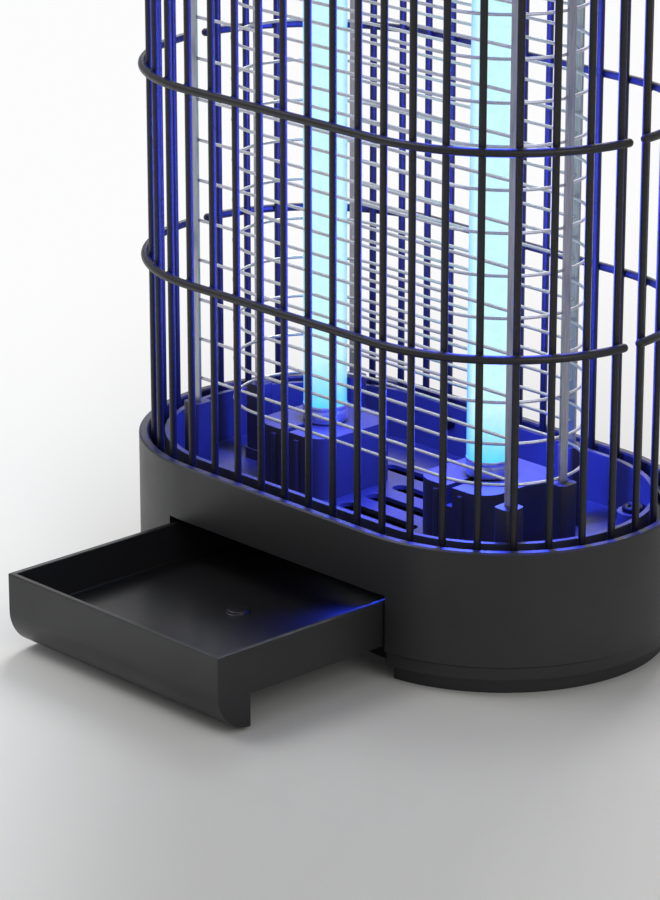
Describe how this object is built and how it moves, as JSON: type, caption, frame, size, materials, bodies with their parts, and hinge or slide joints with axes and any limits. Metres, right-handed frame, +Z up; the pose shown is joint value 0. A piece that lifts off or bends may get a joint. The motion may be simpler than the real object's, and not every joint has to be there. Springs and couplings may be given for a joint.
{
  "type": "electric bug zapper",
  "caption": "Stadium-shaped electric insect zapper with upright UV tubes inside a wired high-voltage grid, a bar cage, a pull-out tray and a folding hanging bail.",
  "frame": {"origin": "centre of the stadium-shaped base, on the surface it stands on", "axes": "+X along the stadium, -Y the way the tray pulls out, +Z up"},
  "size_m": [0.225, 0.2093, 0.385],
  "materials": {
    "housing_plastic": "moulded ABS, fine matte texture",
    "pan_plastic": "moulded ABS, fine matte texture",
    "tray_plastic": "moulded ABS, matte outside and smoother inside",
    "deck_plastic": "moulded flame-retardant ABS, satin",
    "foot_rubber": "moulded rubber",
    "screw_steel": "zinc-plated steel",
    "black_screw_steel": "black oxide steel",
    "socket_plastic": "moulded PBT, satin",
    "lamp_glass": "phosphor-coated tube, lit",
    "lamp_cap_aluminium": "drawn aluminium, satin",
    "pin_brass": "drawn brass",
    "grid_wire_steel": "drawn stainless wire",
    "grid_strip_steel": "rolled stainless strip",
    "insulator_plastic": "moulded nylon",
    "cage_powder_coat": "satin black powder coat on steel wire",
    "bail_steel": "satin black powder coat on steel wire",
    "board_laminate": "glass-epoxy board with solder mask",
    "coil_iron": "laminated core with taped winding",
    "capacitor_sleeve": "shrunk PVC sleeve",
    "resistor_coating": "dipped coating",
    "fuse_glass": "glass tube fuse",
    "switch_plastic": "moulded nylon",
    "rocker_plastic": "moulded nylon, gloss",
    "gland_nylon": "moulded nylon"
  },
  "bodies": {
    "housing": {"base_pan": "pan_plastic", "base_shell": "housing_plastic", "bleed_resistors": "resistor_coating", "board_screws": "screw_steel", "board_standoffs": "insulator_plastic", "cage_front_bars": "cage_powder_coat", "cage_front_hoops": "cage_powder_coat", "cage_front_rails": "cage_powder_coat", "cage_rear_bars": "cage_powder_coat", "cage_rear_hoops": "cage_powder_coat", "cage_rear_rails": "cage_powder_coat", "cage_screws": "black_screw_steel", "circuit_board": "board_laminate", "cord_gland": "gland_nylon", "deck_screws": "black_screw_steel", "fuse_clips": "pin_brass", "fuse_link": "fuse_glass", "gland_nut": "gland_nylon", "grid_insulators_lower": "insulator_plastic", "grid_insulators_upper": "insulator_plastic", "grid_loop_strips": "grid_strip_steel", "grid_loop_wires": "grid_wire_steel", "grid_straight_strips": "grid_strip_steel", "grid_straight_wires": "grid_wire_steel", "insect_deck": "deck_plastic", "lamp_choke": "coil_iron", "lamp_socket_lower_left": "socket_plastic", "lamp_socket_lower_right": "socket_plastic", "lamp_socket_upper_left": "socket_plastic", "lamp_socket_upper_right": "socket_plastic", "pan_screws": "screw_steel", "rubber_feet": "foot_rubber", "step_up_transformer": "coil_iron", "storage_capacitors": "capacitor_sleeve", "switch_body": "switch_plastic", "top_cap": "housing_plastic", "top_deck": "deck_plastic", "top_screws": "black_screw_steel", "top_shell": "housing_plastic", "tray_guides": "pan_plastic"},
    "tray": {"collecting_tray": "tray_plastic"},
    "lamp_left": {"lamp_left_glass": "lamp_glass", "lamp_left_caps": "lamp_cap_aluminium", "lamp_left_pins": "pin_brass"},
    "lamp_right": {"lamp_right_glass": "lamp_glass", "lamp_right_caps": "lamp_cap_aluminium", "lamp_right_pins": "pin_brass"},
    "bail": {"bail_handle": "bail_steel"},
    "rocker": {"switch_rocker": "rocker_plastic"}
  },
  "joints": [
    {"name": "tray_slide", "type": "slide", "parent": "housing", "child": "tray", "axis": [0, -1, 0], "range_m": [-0.0753, 0.026]},
    {"name": "lamp_left_twist", "type": "hinge", "parent": "housing", "child": "lamp_left", "pos_m": [-0.042, 0, 0.057], "axis": [0, 0, 1], "range_deg": [0, 90]},
    {"name": "lamp_right_twist", "type": "hinge", "parent": "housing", "child": "lamp_right", "pos_m": [0.042, 0, 0.057], "axis": [0, 0, 1], "range_deg": [0, 90]},
    {"name": "bail_hinge", "type": "hinge", "parent": "housing", "child": "bail", "pos_m": [0, 0, 0.3807], "axis": [1, 0, 0], "range_deg": [0, 180]},
    {"name": "rocker_tilt", "type": "hinge", "parent": "housing", "child": "rocker", "pos_m": [0.025, 0.064, 0.3574], "axis": [0, 0, 1], "range_deg": [0, 18]}
  ]
}
